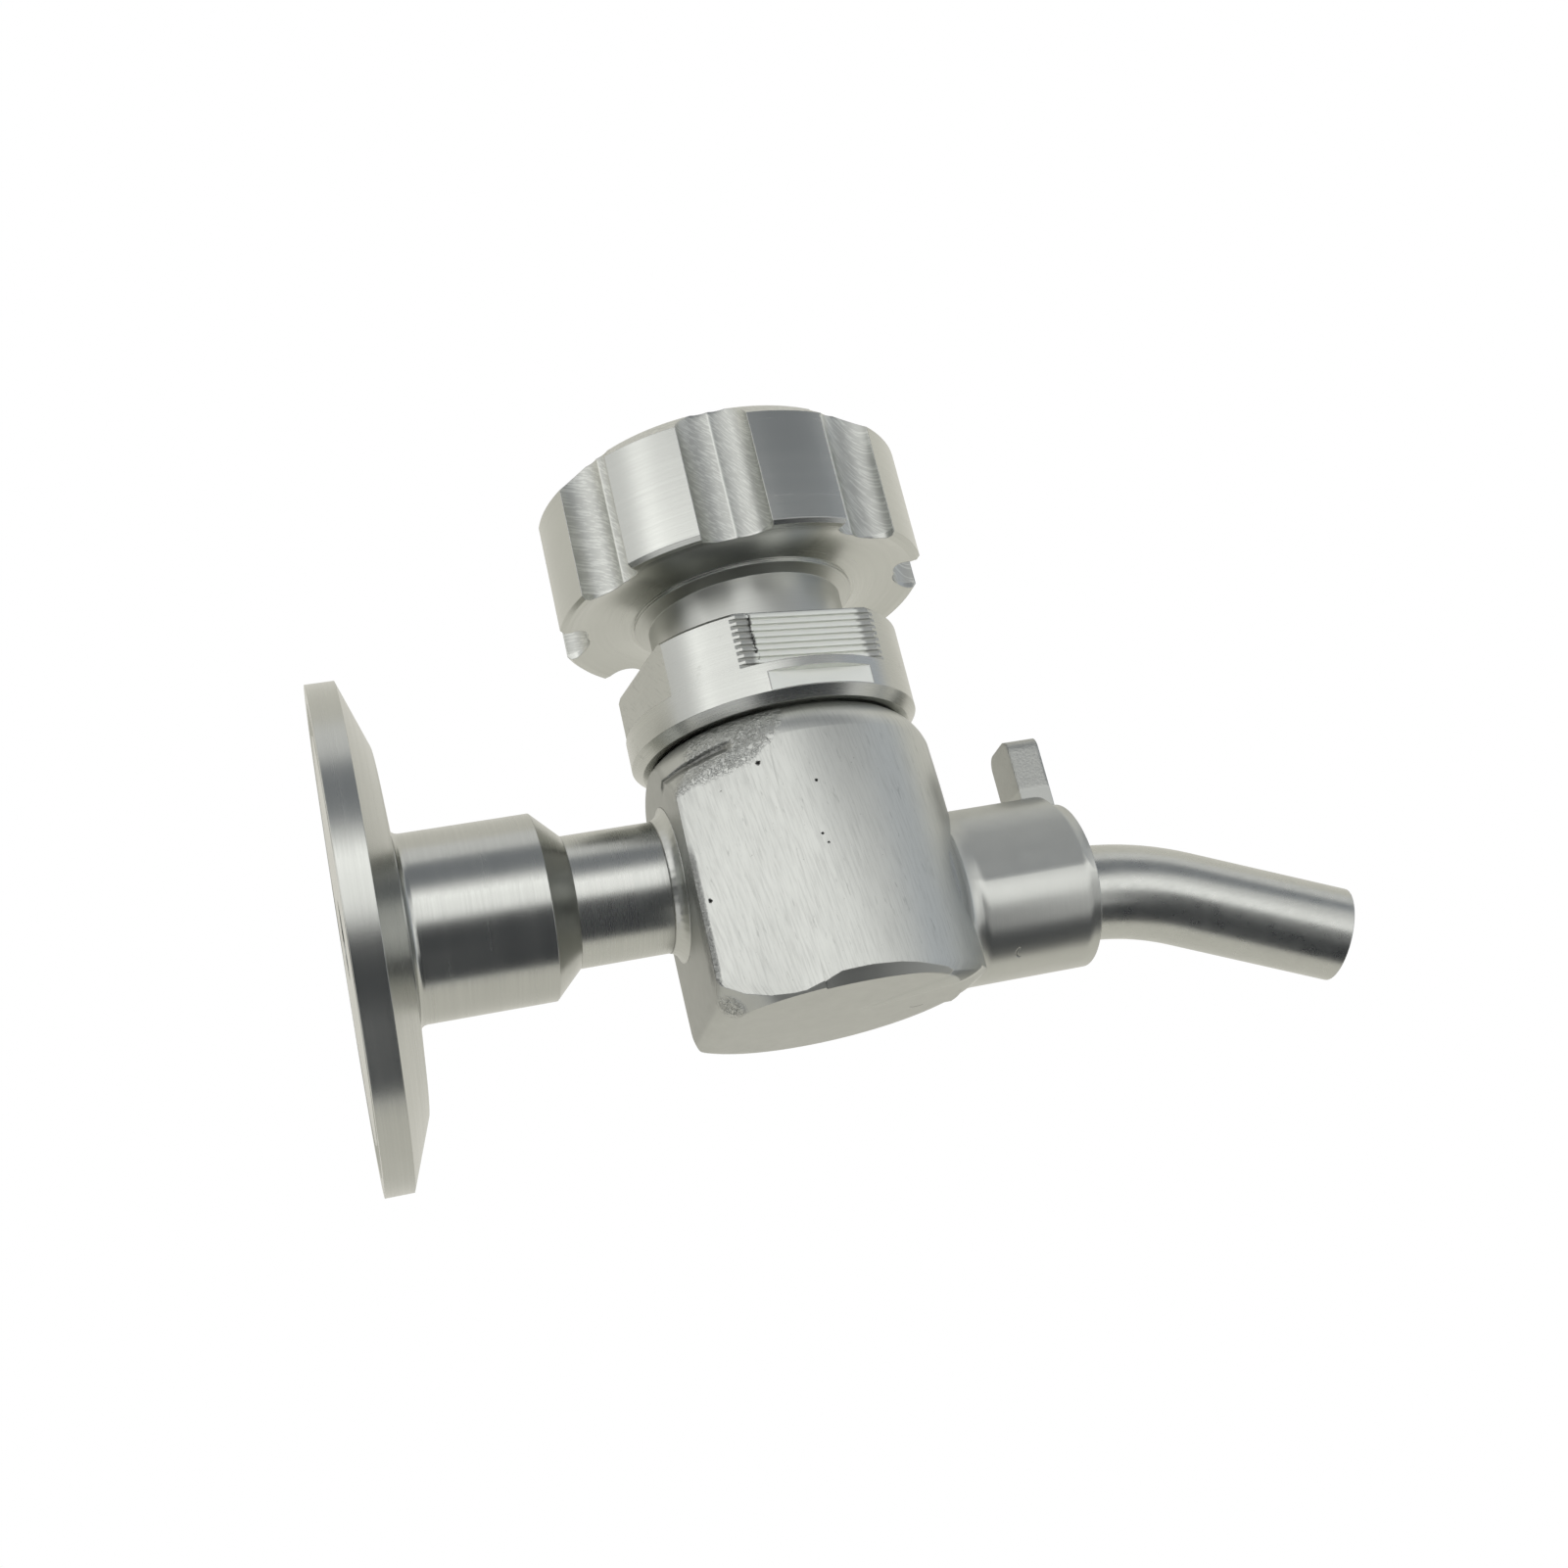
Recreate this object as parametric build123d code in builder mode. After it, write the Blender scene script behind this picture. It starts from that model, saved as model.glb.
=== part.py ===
from build123d import *
from math import acos, atan2, cos, hypot, pi, radians, sin, tan
import os

# A sanitary sampling valve: a clamp ferrule, a seat valve with a union bonnet, and a bent spout.
# X runs with the flow, Z runs up the stem, and the origin is the centre of the ferrule's face.
# The valve is drawn closed, and all sizes are in millimetres.

# Clearances
fit_gap = 0.03  # around a brazed, pressed or sealed piece
running_gap = 0.05  # around a piece that turns or slides
free_gap = 0.3  # between faces that pass without touching

# Clamp ferrule, of the 1.5 inch size
ferrule_dia = 50.5
rim_thickness = 2.85
clamp_slope = 20.0  # degrees, where the clamp grips
clamp_width = 6.7  # radial width of that slope
back_slope = 4.0  # degrees, from the slope in to the neck
ferrule_neck_dia = 19.05
ferrule_neck_end = 19.6  # from the face to where the neck's chamfer starts
ferrule_root_fillet = 0.8
gasket_groove_dia = 43.6
gasket_groove_width = 3.2
gasket_groove_depth = 1.5
ferrule_socket_depth = 8.0

# Inlet tube
tube_dia = 13.5
inlet_bore = 8.0
face_to_port = 33.0  # from the ferrule's face to the flat of the body
body_socket_depth = 2.5
weld_size = 1.3
weld_hollow = 1.8  # radius of the weld's hollow face

# Body casting
port_to_stem = 14.0
barrel_dia = 31.6
barrel_draft = 0.3  # how much smaller in radius the barrel is at its ends
cheek_reach = 12.3  # from the centre line to the front corner of the port face
cheek_shoulder = 5.2  # height where the cheek starts to slope in
cheek_foot_dia = 30.6  # where its lower chamfer starts
body_depth = 16.6  # below the inlet's centre line
bottom_chamfer = 0.9
port_edge_round = 2.6
port_corner_round = 4.0
mould_round = 6.0  # rounding of the bottom, set off centre so that the ground front stays sharp
mould_offset = 2.6
mould_direction = -120.0
shoulder_height = 12.4
shoulder_dia = 26.6
shoulder_drop = 3.4
shoulder_round = 5.5
thread_dia = 24.0
neck_height = 6.2
chamber_dia = 17.6
boss_dia = 18.4
boss_rise = 0.8  # from the bottom of the barrel up to the underside of the boss
boss_reach = 27.4  # from the stem to the end of the boss
flare_reach = 14.8  # from the stem to where the boss becomes straight
flare_length = 2.4
flare_rise = 1.0
boss_end_round = 2.2  # set off centre, so that it fades out towards the boss's underside
boss_round_offset = 1.0
lug_width = 6.3
lug_offset = 0.4
lug_thickness = 3.4
lug_height = 9.1
lug_corner = 1.4

# Seat and passages
spout_offset = 1.7  # below the boss's centre line
passage_dia = 6.0
passage_end = 4.0  # drilled past the stem's centre line
seat_bore = 6.6
seat_land = 1.1  # metal between the chamber's floor and the passage
seat_rise = 0.8
seat_lip = 1.2
seat_taper = 20.0  # degrees

# Spout
spout_dia = 10.0
spout_wall = 1.0
spout_socket_depth = 6.0
spout_bend_radius = 30.0
spout_angle = 23.0
spout_straight = 17.6
braze_size = 0.6

# Bonnet and union nut
spigot_length = 8.0
flange_dia = 23.4
flange_thickness = 2.0
bonnet_neck_dia = 15.0
bonnet_neck_height = 12.4
relief_floor = 0.6  # above the bottom of the flange
relief_height = 3.3
relief_depth = 0.6
slip_thickness = 0.4
slip_clearance = 0.6  # around the bonnet's neck
nut_dia = 30.6
nut_web = 1.6
nut_foot_gap = 0.2
nut_chamfer = 1.0
nut_top_chamfer = 0.35
nut_flat_depth = 1.9
nut_flat_height = 6.0
nut_flat_angle = -79.0  # direction of the grooved flat
strip_depth = 1.1
strip_height = 2.0
strip_foot = 1.1
groove_count = 9
groove_depth = 0.35
groove_share = 0.5  # of the pitch

# Pin that stops the bonnet turning
pin_dia = 1.6
pin_circle_dia = 20.6
pin_in_body = 2.2
pin_in_flange = 1.4

# Rubber rings and the guide bush
gland_height = 2.0
gland_depth = 1.8
gland_spacing = 3.0
gland_margin = 0.4  # metal between the bush and the lower ring
bush_height = 2.3
bonnet_groove_depth = 1.6
bonnet_groove_height = 2.2
bonnet_groove_drop = 3.9  # from the flange down to the middle of the groove
hub_groove_depth = 1.3
hub_groove_height = 1.8
hub_groove_drop = 3.1  # from the top of the bonnet down to the middle of the groove

# Stem
shank_dia = 8.0
stem_thread_dia = 10.0
thread_pitch = 2.0
turns_to_open = 2.5
button_dia = 6.6
button_height = 1.2
button_neck_dia = 4.4
drive_flat = 0.8

# Plug, swivelling on the foot of the stem
disc_dia = 11.6
disc_thickness = 3.0
disc_recess = 1.5
holder_dia = 14.4
holder_web = 2.0
thrust_thickness = 0.5
clip_thickness = 0.6
clip_step = 0.5
clip_opening = 2.2
holder_lip = 0.8
disc_screw_dia = 3.0
disc_screw_head_dia = 4.8
disc_screw_head_height = 1.2
disc_washer_dia = 5.2
disc_washer_thickness = 0.4

# Knob
knob_dia = 39.8
knob_rise = 6.55  # from the top of the nut to the underside of the knob
knob_height = 15.0
knob_top_chamfer = 2.85  # across the top of the grip, down to where the flutes end
knob_top_slope = 39.0  # degrees above level
knob_foot_chamfer = 0.4
cove_depth = 0.6  # under the knob, between the hub and the rim
cove_inner_dia = 24.6
cove_outer_dia = 37.6
hub_dia = 21.0
hub_ledge_dia = 23.8
hub_ledge_height = 0.9
hub_ledge_land = 0.3
sleeve_gap = 0.4
sleeve_clearance = 0.5  # above the bonnet
flute_count = 8
flute_cutter_dia = 5.5
flute_inset = 0.35  # of the cutter's centre from the knob's side
flute_step = 1.8  # sideways move between the cutter's two passes
flute_angle = -100.5  # direction of the first flute
knob_recess_dia = 17.0
knob_recess_depth = 4.5
knob_screw_dia = 5.0
knob_screw_length = 9.0
knob_screw_head_dia = 9.0
knob_screw_head_height = 2.6
knob_screw_dome = 6.8
knob_screw_hex = 3.0
knob_screw_hex_depth = 1.8
knob_washer_dia = 12.0
knob_washer_thickness = 0.9
lock_washer_dia = 8.6
lock_washer_thickness = 0.9
lock_washer_slit = 0.8
lock_washer_turn = 15.0  # degrees from the radius

# Levels and places that follow from those sizes
stem_x = face_to_port + port_to_stem
boss_drop = body_depth - boss_rise - boss_dia / 2
outlet_drop = boss_drop + spout_offset
boss_end = stem_x + boss_reach
neck_top = shoulder_height + neck_height
flange_top = neck_top + flange_thickness
spigot_bottom = neck_top - spigot_length
relief_bottom = neck_top + relief_floor
bonnet_top = flange_top + bonnet_neck_height
slip_top = flange_top + fit_gap + slip_thickness
nut_top = slip_top + fit_gap + nut_web
nut_bottom = shoulder_height + nut_foot_gap
chamber_floor = -outlet_drop + passage_dia / 2 + seat_land
seat_level = chamber_floor + seat_rise
lift = thread_pitch * turns_to_open
knob_foot = nut_top + knob_rise
knob_top = knob_foot + knob_height
hub_bottom = slip_top + free_gap
sleeve_top = bonnet_top + sleeve_clearance
recess_floor = knob_top - knob_recess_depth

stem_axis = Axis((stem_x, 0, 0), (0, 0, 1))
stem_section = Plane(origin=(stem_x, 0, 0), x_dir=(1, 0, 0), z_dir=(0, -1, 0))
flow_section = Plane.XZ
boss_plane = Plane(origin=(boss_end, 0, 0), x_dir=(0, 1, 0), z_dir=(1, 0, 0))

os.makedirs("parts", exist_ok=True)


def stem_level(height):
    # The horizontal plane at a height, centred on the stem
    return Plane(origin=(stem_x, 0, height))


def ring_section(inner_dia, outer_dia, low, high):
    # A rectangle beside the stem's axis, which turns into a ring or a disc
    with BuildSketch(stem_section) as section:
        with Locations(((inner_dia + outer_dia) / 4, (low + high) / 2)):
            Rectangle((outer_dia - inner_dia) / 2, high - low)
    return section.sketch


def cord_section(inner_dia, outer_dia, height):
    # A rubber ring's round section, which just clears the walls that it seals
    cord = (outer_dia - inner_dia) / 2 - 2 * fit_gap
    with BuildSketch(stem_section) as section:
        with Locations(((inner_dia + outer_dia) / 4, height)):
            Circle(cord / 2)
    return section.sketch


def finish(part, name):
    part.label = name
    export_step(part, f"parts/{name}.step")


# Ferrule: flange with a gasket groove, sloped back, neck and a chamfer down to the tube
rim_radius = ferrule_dia / 2
slope_foot = rim_radius - clamp_width
slope_end = rim_thickness + clamp_width * tan(radians(clamp_slope))
neck_radius = ferrule_neck_dia / 2
neck_start = slope_end + (slope_foot - neck_radius) * tan(radians(back_slope))
ferrule_end = ferrule_neck_end + neck_radius - tube_dia / 2
ferrule_socket_floor = ferrule_end - ferrule_socket_depth

with BuildPart() as ferrule:
    with BuildSketch(flow_section):
        with BuildLine():
            Polyline(
                (0, inlet_bore / 2),
                (0, rim_radius),
                (rim_thickness, rim_radius),
                (slope_end, slope_foot),
                (neck_start, neck_radius),
                (ferrule_neck_end, neck_radius),
                (ferrule_end, tube_dia / 2 + fit_gap),
                (ferrule_socket_floor, tube_dia / 2 + fit_gap),
                (ferrule_socket_floor, inlet_bore / 2),
                close=True,
            )
        make_face()
        with Locations((0, gasket_groove_dia / 2)):
            SlotOverall(
                gasket_groove_width, 2 * gasket_groove_depth, rotation=90, mode=Mode.SUBTRACT
            )
    revolve(axis=Axis.X)
    neck_root = ferrule.edges().filter_by(GeomType.CIRCLE).filter_by(
        lambda edge: abs(edge.radius - neck_radius) < 0.01
    ).sort_by(Axis.X)[0]
    fillet(neck_root, ferrule_root_fillet)
finish(ferrule.part, "ferrule")

# Inlet tube: brazed into the ferrule and let into the body's port face
body_socket_floor = face_to_port + body_socket_depth

with BuildPart() as inlet_tube:
    with BuildSketch(Plane.YZ.offset(ferrule_socket_floor)):
        Circle(tube_dia / 2)
        Circle(inlet_bore / 2, mode=Mode.SUBTRACT)
    extrude(amount=body_socket_floor - ferrule_socket_floor)
finish(inlet_tube.part, "inlet_tube")

# Inlet weld: hollow-faced fillet between the tube and the body
weld_root = tube_dia / 2 + fit_gap

with BuildPart() as inlet_weld:
    with BuildSketch(flow_section):
        with BuildLine():
            Line((face_to_port, weld_root), (face_to_port - weld_size, weld_root))
            RadiusArc(
                (face_to_port - weld_size, weld_root),
                (face_to_port, weld_root + weld_size),
                -weld_hollow,
            )
            Line((face_to_port, weld_root + weld_size), (face_to_port, weld_root))
        make_face()
    revolve(axis=Axis.X)
finish(inlet_weld.part, "inlet_weld")

# Valve body: one casting with a barrel, a ground cheek, an outlet boss and a lug
barrel_radius = barrel_dia / 2
end_radius = barrel_radius - barrel_draft
shoulder_radius = shoulder_dia / 2
cheek_corner = hypot(port_to_stem, cheek_reach)
corner_angle = pi + atan2(cheek_reach, port_to_stem)
tangent_angle = corner_angle + acos(barrel_radius / cheek_corner)
shoulder_foot = shoulder_height - shoulder_drop
mould_radius = barrel_radius + mould_offset + free_gap
mould_x = stem_x + mould_offset * cos(radians(mould_direction))
mould_y = mould_offset * sin(radians(mould_direction))
mould_section = Plane(origin=(mould_x, mould_y, 0), x_dir=(1, 0, 0), z_dir=(0, -1, 0))
boss_radius = boss_dia / 2
flare_start = flare_reach - flare_length
flare_radius = (flare_length**2 + flare_rise**2) / (2 * flare_rise)
boss_top_radius = boss_radius + boss_round_offset
boss_section = Plane(origin=(boss_end, 0, -boss_drop), x_dir=(1, 0, 0), z_dir=(0, -1, 0))
boss_round_section = boss_section.offset(0).move(Location((0, 0, -boss_round_offset)))

with BuildPart() as valve_body:
    # Cheek between the barrel and the front corner of the port face
    with BuildSketch(stem_level(-body_depth)):
        with BuildLine():
            Polyline(
                (-port_to_stem, -cheek_reach),
                (barrel_radius * cos(tangent_angle), barrel_radius * sin(tangent_angle)),
                (0, 0),
                (-port_to_stem, 0),
                close=True,
            )
        make_face()
    extrude(amount=body_depth + shoulder_height)
    with BuildSketch(stem_section):
        with BuildLine():
            Polyline(
                (shoulder_radius, shoulder_height),
                (0, shoulder_height),
                (0, -body_depth),
                (cheek_foot_dia / 2, -body_depth),
                (cheek_corner, cheek_corner - cheek_foot_dia / 2 - body_depth),
                (cheek_corner, cheek_shoulder),
                (end_radius, shoulder_foot),
            )
            RadiusArc(
                (end_radius, shoulder_foot),
                (shoulder_radius, shoulder_height),
                -shoulder_round,
            )
        make_face()
    revolve(axis=stem_axis, mode=Mode.INTERSECT)
    # Barrel, slightly swollen in the middle, with a rounded shoulder
    with BuildSketch(stem_section):
        with BuildLine():
            Polyline(
                (0, shoulder_height),
                (0, -body_depth),
                (end_radius - bottom_chamfer, -body_depth),
                (end_radius, -body_depth + bottom_chamfer),
            )
            ThreePointArc(
                (end_radius, -body_depth + bottom_chamfer),
                (barrel_radius, (shoulder_foot - body_depth) / 2),
                (end_radius, shoulder_foot),
            )
            RadiusArc(
                (end_radius, shoulder_foot),
                (shoulder_radius, shoulder_height),
                -shoulder_round,
            )
            Line((shoulder_radius, shoulder_height), (0, shoulder_height))
        make_face()
    revolve(axis=stem_axis)
    # Flat port face
    with BuildSketch(Plane.YZ.offset(face_to_port)):
        Rectangle(4 * barrel_radius, 2 * (body_depth + shoulder_height))
    extrude(amount=-port_to_stem, mode=Mode.SUBTRACT)
    # Rounded edge under the port face
    with BuildSketch(flow_section):
        with BuildLine():
            Line((face_to_port, port_edge_round - body_depth), (face_to_port, -body_depth))
            Line((face_to_port, -body_depth), (face_to_port + port_edge_round, -body_depth))
            RadiusArc(
                (face_to_port + port_edge_round, -body_depth),
                (face_to_port, port_edge_round - body_depth),
                port_edge_round,
            )
        make_face()
    extrude(amount=2 * barrel_radius, both=True, mode=Mode.SUBTRACT)
    # Rounding left by the mould under the barrel, away from the ground front
    with BuildSketch(mould_section):
        with BuildLine():
            Line((mould_radius - mould_round, -body_depth), (mould_radius, -body_depth))
            Line((mould_radius, -body_depth), (mould_radius, mould_round - body_depth))
            RadiusArc(
                (mould_radius, mould_round - body_depth),
                (mould_radius - mould_round, -body_depth),
                mould_round,
            )
        make_face()
    revolve(axis=Axis((mould_x, mould_y, 0), (0, 0, 1)), mode=Mode.SUBTRACT)
    # Outlet boss, flared where it meets the barrel
    with BuildSketch(boss_section):
        with BuildLine():
            Polyline(
                (-boss_reach, 0),
                (0, 0),
                (0, boss_radius),
                (flare_reach - boss_reach, boss_radius),
            )
            RadiusArc(
                (flare_reach - boss_reach, boss_radius),
                (flare_start - boss_reach, boss_radius + flare_rise),
                flare_radius,
            )
            Polyline(
                (flare_start - boss_reach, boss_radius + flare_rise),
                (-boss_reach, boss_radius + flare_rise),
                (-boss_reach, 0),
            )
        make_face()
    revolve(axis=Axis((0, 0, -boss_drop), (1, 0, 0)))
    with BuildSketch(stem_level(-body_depth)):
        Rectangle(2 * boss_reach, 4 * barrel_radius)
    extrude(amount=-flare_rise, mode=Mode.SUBTRACT)
    # Rounding on the upper half of the boss's end
    with BuildSketch(boss_round_section):
        with BuildLine():
            Line((-boss_end_round, boss_top_radius), (0, boss_top_radius))
            Line((0, boss_top_radius), (0, boss_top_radius - boss_end_round))
            RadiusArc(
                (0, boss_top_radius - boss_end_round),
                (-boss_end_round, boss_top_radius),
                boss_end_round,
            )
        make_face()
    revolve(axis=Axis((0, 0, -boss_drop - boss_round_offset), (1, 0, 0)), mode=Mode.SUBTRACT)
    # Lug on top of the end of the boss
    with BuildSketch(boss_plane):
        with Locations((lug_offset, (lug_height - boss_drop) / 2)):
            Rectangle(lug_width, lug_height + boss_drop)
    extrude(amount=-lug_thickness)
    lug_edges = valve_body.edges().filter_by(Axis.X).filter_by(
        lambda edge: abs(edge.center().Z - lug_height) < 0.01
    )
    fillet(lug_edges, lug_corner)
    # Inlet: socket for the tube, then the port into the chamber
    with BuildSketch(Plane.YZ.offset(face_to_port)):
        Circle(tube_dia / 2 + fit_gap)
    extrude(amount=body_socket_depth, mode=Mode.SUBTRACT)
    with BuildSketch(Plane.YZ.offset(face_to_port)):
        Circle(inlet_bore / 2)
    extrude(amount=port_to_stem, mode=Mode.SUBTRACT)
    # Neck for the union nut, then the chamber with the seat standing on its floor
    with BuildSketch(stem_level(shoulder_height)):
        Circle(thread_dia / 2)
    extrude(amount=neck_height)
    with BuildSketch(stem_level(chamber_floor)):
        Circle(chamber_dia / 2)
    extrude(amount=neck_top - chamber_floor, mode=Mode.SUBTRACT)
    with BuildSketch(stem_level(chamber_floor)):
        Circle(seat_bore / 2 + seat_lip)
    extrude(amount=seat_rise, taper=seat_taper)
    with BuildSketch(stem_level(seat_level)):
        Circle(seat_bore / 2)
    extrude(amount=-(seat_level + outlet_drop + passage_dia / 4), mode=Mode.SUBTRACT)
    # Outlet passage, drilled from the boss, and the socket for the spout
    with BuildSketch(boss_plane):
        with Locations((0, -outlet_drop)):
            Circle(passage_dia / 2)
    extrude(amount=-(boss_reach + passage_end), mode=Mode.SUBTRACT)
    with BuildSketch(boss_plane):
        with Locations((0, -outlet_drop)):
            Circle(spout_dia / 2 + fit_gap)
    extrude(amount=-spout_socket_depth, mode=Mode.SUBTRACT)
    # Blind hole for the pin, in the top of the neck
    with BuildSketch(stem_level(neck_top)):
        with Locations((0, pin_circle_dia / 2)):
            Circle(pin_dia / 2 + fit_gap)
    extrude(amount=-pin_in_body - fit_gap, mode=Mode.SUBTRACT)
finish(valve_body.part, "valve_body")

# Outlet spout: bent tube, brazed into the boss
bend_rise = spout_bend_radius * (1 - cos(radians(spout_angle)))
bend_run = spout_bend_radius * sin(radians(spout_angle))
bend_end = (boss_end + bend_run, -outlet_drop - bend_rise)
spout_tip = (
    bend_end[0] + spout_straight * cos(radians(spout_angle)),
    bend_end[1] - spout_straight * sin(radians(spout_angle)),
)
spout_start = boss_end - spout_socket_depth

with BuildPart() as outlet_spout:
    with BuildLine(flow_section) as spout_route:
        Line((spout_start, -outlet_drop), (boss_end, -outlet_drop))
        RadiusArc((boss_end, -outlet_drop), bend_end, spout_bend_radius)
        Line(bend_end, spout_tip)
    with BuildSketch(Plane.YZ.offset(spout_start)):
        with Locations((0, -outlet_drop)):
            Circle(spout_dia / 2)
            Circle(spout_dia / 2 - spout_wall, mode=Mode.SUBTRACT)
    sweep(path=spout_route.line)
finish(outlet_spout.part, "outlet_spout")

# Bonnet: spigot in the chamber, flange on the body's neck, and a threaded neck inside the knob
spigot_dia = chamber_dia - 2 * running_gap
gland_dia = shank_dia + 2 * gland_depth
shank_bore = shank_dia + 2 * running_gap
thread_bore = stem_thread_dia + 2 * running_gap
relief_dia = stem_thread_dia + 2 * relief_depth
bonnet_groove_mid = neck_top - bonnet_groove_drop
hub_groove_mid = bonnet_top - hub_groove_drop
bush_top = spigot_bottom + bush_height
gland_mids = [bush_top + gland_margin + gland_height / 2 + gland_spacing * k for k in range(2)]

with BuildPart() as bonnet:
    with BuildSketch(stem_section):
        with BuildLine():
            Polyline(
                (shank_bore / 2, spigot_bottom),
                (spigot_dia / 2, spigot_bottom),
                (spigot_dia / 2, neck_top),
                (flange_dia / 2, neck_top),
                (flange_dia / 2, flange_top),
                (bonnet_neck_dia / 2, flange_top),
                (bonnet_neck_dia / 2, bonnet_top),
                (thread_bore / 2, bonnet_top),
                (thread_bore / 2, relief_bottom + relief_height),
                (relief_dia / 2, relief_bottom + relief_height),
                (relief_dia / 2, relief_bottom),
                (shank_bore / 2, relief_bottom),
                close=True,
            )
        make_face()
    revolve(axis=stem_axis)
    bonnet_groove_floor = spigot_dia - 2 * bonnet_groove_depth
    revolve(
        ring_section(
            bonnet_groove_floor,
            chamber_dia,
            bonnet_groove_mid - bonnet_groove_height / 2,
            bonnet_groove_mid + bonnet_groove_height / 2,
        ),
        axis=stem_axis,
        mode=Mode.SUBTRACT,
    )
    hub_groove_floor = bonnet_neck_dia - 2 * hub_groove_depth
    revolve(
        ring_section(
            hub_groove_floor,
            hub_dia,
            hub_groove_mid - hub_groove_height / 2,
            hub_groove_mid + hub_groove_height / 2,
        ),
        axis=stem_axis,
        mode=Mode.SUBTRACT,
    )
    for gland_mid in gland_mids:
        revolve(
            ring_section(
                shank_dia, gland_dia, gland_mid - gland_height / 2, gland_mid + gland_height / 2
            ),
            axis=stem_axis,
            mode=Mode.SUBTRACT,
        )
    revolve(
        ring_section(shank_dia, gland_dia, spigot_bottom, bush_top),
        axis=stem_axis,
        mode=Mode.SUBTRACT,
    )
    with BuildSketch(stem_level(neck_top)):
        with Locations((0, pin_circle_dia / 2)):
            Circle(pin_dia / 2 + fit_gap)
    extrude(amount=pin_in_flange + fit_gap, mode=Mode.SUBTRACT)
finish(bonnet.part, "bonnet")

# Pin between the body's neck and the bonnet's flange
with BuildPart() as anti_turn_pin:
    with BuildSketch(stem_level(neck_top - pin_in_body)):
        with Locations((0, pin_circle_dia / 2)):
            Circle(pin_dia / 2)
    extrude(amount=pin_in_body + pin_in_flange)
finish(anti_turn_pin.part, "anti_turn_pin")

# Guide bush and rubber rings, each in its own groove
with BuildPart() as guide_bush:
    revolve(
        ring_section(shank_bore, gland_dia - 2 * fit_gap, spigot_bottom + fit_gap, bush_top - fit_gap),
        axis=stem_axis,
    )
finish(guide_bush.part, "guide_bush")

with BuildPart() as stem_o_ring_lower:
    revolve(cord_section(shank_dia, gland_dia, gland_mids[0]), axis=stem_axis)
finish(stem_o_ring_lower.part, "stem_o_ring_lower")

with BuildPart() as stem_o_ring_upper:
    revolve(cord_section(shank_dia, gland_dia, gland_mids[1]), axis=stem_axis)
finish(stem_o_ring_upper.part, "stem_o_ring_upper")

with BuildPart() as bonnet_o_ring:
    revolve(cord_section(bonnet_groove_floor, chamber_dia, bonnet_groove_mid), axis=stem_axis)
finish(bonnet_o_ring.part, "bonnet_o_ring")

sleeve_dia = bonnet_neck_dia + 2 * sleeve_gap

with BuildPart() as hub_o_ring:
    revolve(cord_section(hub_groove_floor, sleeve_dia, hub_groove_mid), axis=stem_axis)
finish(hub_o_ring.part, "hub_o_ring")

# Slip washer between the bonnet's flange and the nut's web
nut_bore = thread_dia + 2 * running_gap

with BuildPart() as slip_washer:
    revolve(
        ring_section(
            bonnet_neck_dia + 2 * slip_clearance, flange_dia, flange_top + fit_gap, slip_top
        ),
        axis=stem_axis,
    )
finish(slip_washer.part, "slip_washer")

# Bonnet nut: a turned ring with four flats, two of them ridged for the wrench
nut_opening = hub_dia + 2 * free_gap
nut_radius = nut_dia / 2
flat_low = nut_top - nut_flat_height
groove_pitch = nut_flat_height / (groove_count - 1 + groove_share)
strip_low = nut_bottom + strip_foot

with BuildPart() as bonnet_nut:
    with BuildSketch(stem_section):
        with BuildLine():
            Polyline(
                (nut_bore / 2, nut_bottom),
                (nut_radius - nut_chamfer, nut_bottom),
                (nut_radius, nut_bottom + nut_chamfer),
                (nut_radius, nut_top - nut_top_chamfer),
                (nut_radius - nut_top_chamfer, nut_top),
                (nut_opening / 2, nut_top),
                (nut_opening / 2, nut_top - nut_web),
                (nut_bore / 2, nut_top - nut_web),
                close=True,
            )
        make_face()
    revolve(axis=stem_axis)
    for side in range(4):
        turn = nut_flat_angle + 90 * side
        flat_frame = Plane(
            origin=(
                stem_x + nut_radius * cos(radians(turn)),
                nut_radius * sin(radians(turn)),
                nut_top,
            ),
            x_dir=(-sin(radians(turn)), cos(radians(turn)), 0),
            z_dir=(cos(radians(turn)), sin(radians(turn)), 0),
        )
        ridged = side % 2 == 0
        with BuildSketch(flat_frame):
            with Locations((0, -nut_flat_height / 2)):
                Rectangle(nut_dia, nut_flat_height)
        extrude(amount=-nut_flat_depth, mode=Mode.SUBTRACT)
        if ridged:
            with BuildSketch(flat_frame.offset(-nut_flat_depth)):
                for groove in range(groove_count):
                    with Locations((0, -(groove + groove_share / 2) * groove_pitch)):
                        Rectangle(nut_dia, groove_share * groove_pitch)
            extrude(amount=-groove_depth, mode=Mode.SUBTRACT)
            with BuildSketch(flat_frame):
                with Locations((0, strip_low - nut_top + strip_height / 2)):
                    Rectangle(nut_dia, strip_height)
            extrude(amount=-strip_depth, mode=Mode.SUBTRACT)
finish(bonnet_nut.part, "bonnet_nut")

# Stem: foot button, smooth shank, thread, and a flatted end for the knob
recess_top = seat_level + disc_thickness
holder_bottom = recess_top - disc_recess
pocket_floor = recess_top + holder_web
thrust_top = pocket_floor + fit_gap + thrust_thickness
button_bottom = thrust_top + fit_gap
button_top = button_bottom + button_height
clip_bottom = button_top + running_gap
clip_top = clip_bottom + clip_thickness
holder_top = clip_top + holder_lip
shank_bottom = holder_top + free_gap
thread_bottom = relief_bottom + 2 * free_gap
drive_top = recess_floor - free_gap
screw_hole_depth = knob_screw_length + free_gap

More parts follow.
